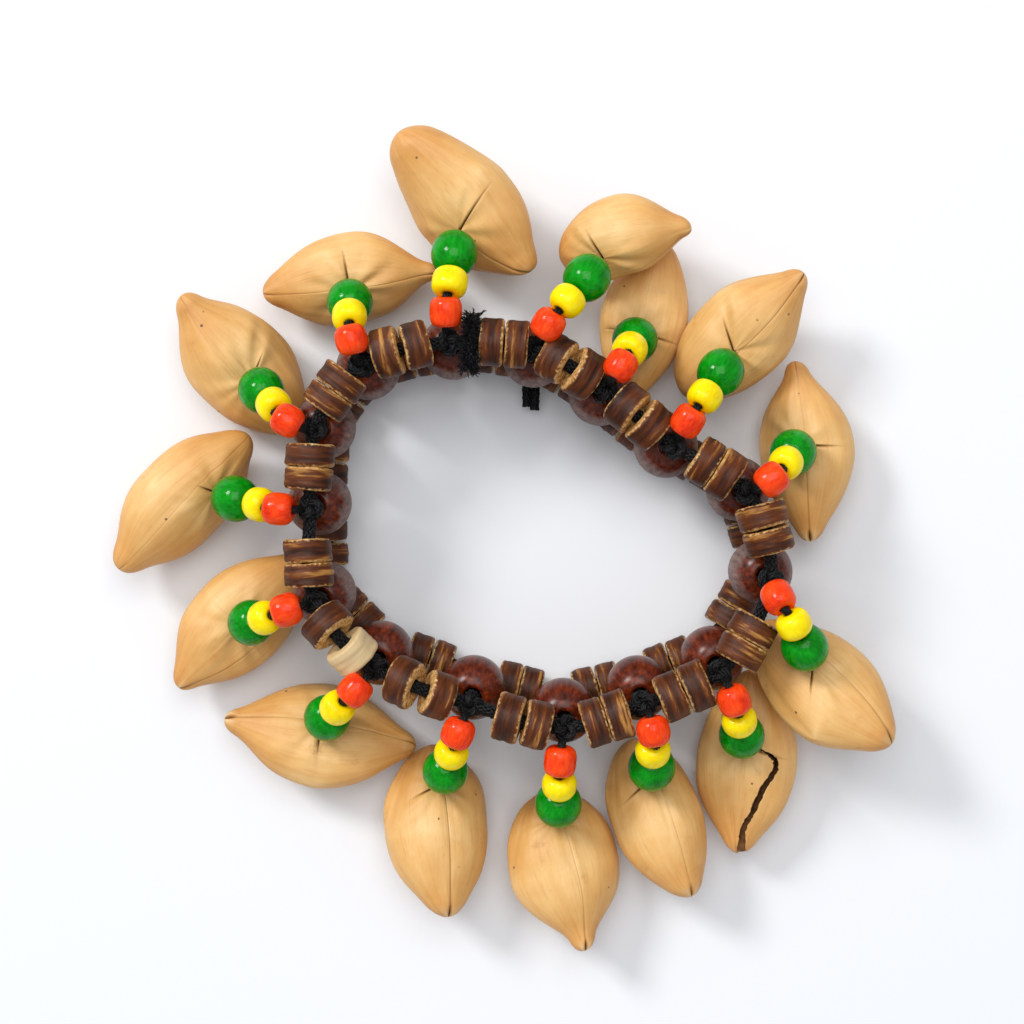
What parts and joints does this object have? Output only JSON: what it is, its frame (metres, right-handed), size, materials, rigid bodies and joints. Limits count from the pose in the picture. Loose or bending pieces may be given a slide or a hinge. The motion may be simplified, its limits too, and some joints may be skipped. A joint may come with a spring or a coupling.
{
  "type": "seed pod shaker bracelet",
  "caption": "Stretch wrist shaker: elastic rows of shell discs joined by round wooden beads, with beaded cord dangles that end in hollow seed pods which rattle together.",
  "frame": {"origin": "middle of the wrist opening, on the surface the bracelet lies on", "axes": "+Z up along the wrist opening's axis; +X right and +Y up as the bracelet is seen from above"},
  "size_m": [0.1315, 0.1389, 0.0302],
  "materials": {
    "shell_discs": "polished coconut shell with pale streaks",
    "black_cord": "matt braided elastic cord",
    "dark_wood": "dry dark wood, polished round the hole",
    "dyed_beads": "glossy dyed wood in green, yellow and red",
    "seed_shell": "smooth dry seed stone"
  },
  "bodies": {
    "band": {"upper_disc_row": "shell_discs", "lower_disc_row": "shell_discs", "elastic_tuft": "black_cord", "round_bead_01": "dark_wood", "round_bead_02": "dark_wood", "round_bead_03": "dark_wood", "round_bead_04": "dark_wood", "round_bead_05": "dark_wood", "round_bead_06": "dark_wood", "round_bead_07": "dark_wood", "round_bead_08": "dark_wood", "round_bead_09": "dark_wood", "round_bead_10": "dark_wood", "round_bead_11": "dark_wood", "round_bead_12": "dark_wood", "round_bead_13": "dark_wood", "round_bead_14": "dark_wood", "round_bead_15": "dark_wood"},
    "strand_01": {"bead_strand_01": "dyed_beads"},
    "strand_02": {"bead_strand_02": "dyed_beads"},
    "strand_03": {"bead_strand_03": "dyed_beads"},
    "strand_04": {"bead_strand_04": "dyed_beads"},
    "strand_05": {"bead_strand_05": "dyed_beads"},
    "strand_06": {"bead_strand_06": "dyed_beads"},
    "strand_07": {"bead_strand_07": "dyed_beads"},
    "strand_08": {"bead_strand_08": "dyed_beads"},
    "strand_09": {"bead_strand_09": "dyed_beads"},
    "strand_10": {"bead_strand_10": "dyed_beads"},
    "strand_11": {"bead_strand_11": "dyed_beads"},
    "strand_12": {"bead_strand_12": "dyed_beads"},
    "strand_13": {"bead_strand_13": "dyed_beads"},
    "strand_14": {"bead_strand_14": "dyed_beads"},
    "strand_15": {"bead_strand_15": "dyed_beads"},
    "pod_01": {"seed_pod_01": "seed_shell"},
    "pod_02": {"seed_pod_02": "seed_shell"},
    "pod_03": {"seed_pod_03": "seed_shell"},
    "pod_04": {"seed_pod_04": "seed_shell"},
    "pod_05": {"seed_pod_05": "seed_shell"},
    "pod_06": {"seed_pod_06": "seed_shell"},
    "pod_07": {"seed_pod_07": "seed_shell"},
    "pod_08": {"seed_pod_08": "seed_shell"},
    "pod_09": {"seed_pod_09": "seed_shell"},
    "pod_10": {"seed_pod_10": "seed_shell"},
    "pod_11": {"seed_pod_11": "seed_shell"},
    "pod_12": {"seed_pod_12": "seed_shell"},
    "pod_13": {"seed_pod_13": "seed_shell"},
    "pod_14": {"seed_pod_14": "seed_shell"},
    "pod_15": {"seed_pod_15": "seed_shell"}
  },
  "joints": [
    {"name": "swing_01", "type": "hinge", "parent": "band", "child": "strand_01", "pos_m": [-0.0133, 0.0302, 0.022], "axis": [0.9962, 0.0874, 0], "range_deg": [-24, 45]},
    {"name": "swivel_01", "type": "hinge", "parent": "strand_01", "child": "pod_01", "pos_m": [-0.01218, 0.04897, 0.01662], "axis": [0.096, 0.7821, -0.6157], "range_deg": [-40, 24]},
    {"name": "swing_02", "type": "hinge", "parent": "band", "child": "strand_02", "pos_m": [-0.0279, 0.0265, 0.022], "axis": [0.8441, 0.5361, 0], "range_deg": [-5, 24]},
    {"name": "swivel_02", "type": "hinge", "parent": "strand_02", "child": "pod_02", "pos_m": [-0.03041, 0.03928, 0.01284], "axis": [-0.0534, 0.4351, -0.8988], "range_deg": [-30, 36]},
    {"name": "swing_03", "type": "hinge", "parent": "band", "child": "strand_03", "pos_m": [-0.0355, 0.0161, 0.022], "axis": [0.3354, 0.9421, 0], "range_deg": [-2, 24]},
    {"name": "swivel_03", "type": "hinge", "parent": "strand_03", "child": "pod_03", "pos_m": [-0.04692, 0.02456, 0.01275], "axis": [-0.3984, 0.4126, -0.8192], "range_deg": [-12, 17]},
    {"name": "swing_04", "type": "hinge", "parent": "band", "child": "strand_04", "pos_m": [-0.0363, 0.0029, 0.022], "axis": [0, 1, 0], "range_deg": [-12, 45]},
    {"name": "swivel_04", "type": "hinge", "parent": "strand_04", "child": "pod_04", "pos_m": [-0.05282, 0.00516, 0.01282], "axis": [-0.7036, 0.1496, -0.6947], "range_deg": [-40, 40]},
    {"name": "swing_05", "type": "hinge", "parent": "band", "child": "strand_05", "pos_m": [-0.0355, -0.0128, 0.022], "axis": [-0.3751, 0.927, 0], "range_deg": [-1, 30]},
    {"name": "swivel_05", "type": "hinge", "parent": "strand_05", "child": "pod_05", "pos_m": [-0.04894, -0.01709, 0.01199], "axis": [-0.4412, -0.1606, -0.8829], "range_deg": [-40, 3]},
    {"name": "swing_06", "type": "hinge", "parent": "band", "child": "strand_06", "pos_m": [-0.0257, -0.0233, 0.022], "axis": [-0.8386, 0.5448, 0], "range_deg": [-7, 36]},
    {"name": "swivel_06", "type": "hinge", "parent": "strand_06", "child": "pod_06", "pos_m": [-0.03558, -0.03378, 0.01219], "axis": [-0.332, -0.332, -0.8829], "range_deg": [-25, 36]},
    {"name": "swing_07", "type": "hinge", "parent": "band", "child": "strand_07", "pos_m": [-0.0098, -0.0295, 0.022], "axis": [-0.952, 0.3062, 0], "range_deg": [-21, 45]},
    {"name": "swivel_07", "type": "hinge", "parent": "strand_07", "child": "pod_07", "pos_m": [-0.0151, -0.04382, 0.01178], "axis": [-0.1772, -0.5455, -0.8192], "range_deg": [-12, 36]},
    {"name": "swing_08", "type": "hinge", "parent": "band", "child": "strand_08", "pos_m": [0.0057, -0.0334, 0.022], "axis": [-1, -0.0034, 0], "range_deg": [-2, 45]},
    {"name": "swivel_08", "type": "hinge", "parent": "strand_08", "child": "pod_08", "pos_m": [0.00466, -0.04971, 0.01129], "axis": [-0.0103, -0.5877, -0.809], "range_deg": [-2, 40]},
    {"name": "swing_09", "type": "hinge", "parent": "band", "child": "strand_09", "pos_m": [0.0186, -0.0294, 0.022], "axis": [-0.9398, -0.3416, 0], "range_deg": [-6, 45]},
    {"name": "swivel_09", "type": "hinge", "parent": "strand_09", "child": "pod_09", "pos_m": [0.0204, -0.04299, 0.01199], "axis": [0.018, -0.5147, -0.8572], "range_deg": [-4, 8]},
    {"name": "swing_10", "type": "hinge", "parent": "band", "child": "strand_10", "pos_m": [0.0313, -0.0241, 0.022], "axis": [-0.7171, -0.6969, 0], "range_deg": [-5, 2]},
    {"name": "swivel_10", "type": "hinge", "parent": "strand_10", "child": "pod_10", "pos_m": [0.03624, -0.03761, 0.01094], "axis": [0.1498, -0.4611, -0.8746], "range_deg": [-25, 2]},
    {"name": "swing_11", "type": "hinge", "parent": "band", "child": "strand_11", "pos_m": [0.0396, -0.009, 0.022], "axis": [-0.1508, -0.9886, 0], "range_deg": [-2, 15]},
    {"name": "swivel_11", "type": "hinge", "parent": "strand_11", "child": "pod_11", "pos_m": [0.04696, -0.02321, 0.01911], "axis": [0.3536, -0.6124, -0.7071], "range_deg": [-15, 15]},
    {"name": "swing_12", "type": "hinge", "parent": "band", "child": "strand_12", "pos_m": [0.0358, 0.0054, 0.022], "axis": [0.5864, -0.81, 0], "range_deg": [-2, 24]},
    {"name": "swivel_12", "type": "hinge", "parent": "strand_12", "child": "pod_12", "pos_m": [0.04533, 0.01351, 0.01225], "axis": [0.2876, 0.2876, -0.9135], "range_deg": [-40, 8]},
    {"name": "swing_13", "type": "hinge", "parent": "band", "child": "strand_13", "pos_m": [0.0236, 0.0131, 0.022], "axis": [0.8115, -0.5844, 0], "range_deg": [-1, 45]},
    {"name": "swivel_13", "type": "hinge", "parent": "strand_13", "child": "pod_13", "pos_m": [0.03399, 0.0289, 0.01688], "axis": [0.4458, 0.6366, -0.6293], "range_deg": [-35, 12]},
    {"name": "swing_14", "type": "hinge", "parent": "band", "child": "strand_14", "pos_m": [0.0122, 0.0224, 0.022], "axis": [0.8225, -0.5687, 0], "range_deg": [0, 2]},
    {"name": "swivel_14", "type": "hinge", "parent": "strand_14", "child": "pod_14", "pos_m": [0.01845, 0.0326, 0.01073], "axis": [0.1792, 0.3104, -0.9336], "range_deg": [-8, 2]},
    {"name": "swing_15", "type": "hinge", "parent": "band", "child": "strand_15", "pos_m": [0.0006, 0.029, 0.022], "axis": [0.9563, -0.2925, 0], "range_deg": [-1, 9]},
    {"name": "swivel_15", "type": "hinge", "parent": "strand_15", "child": "pod_15", "pos_m": [0.01202, 0.04423, 0.01784], "axis": [0.5091, 0.6287, -0.5878], "range_deg": [-30, 30]}
  ]
}
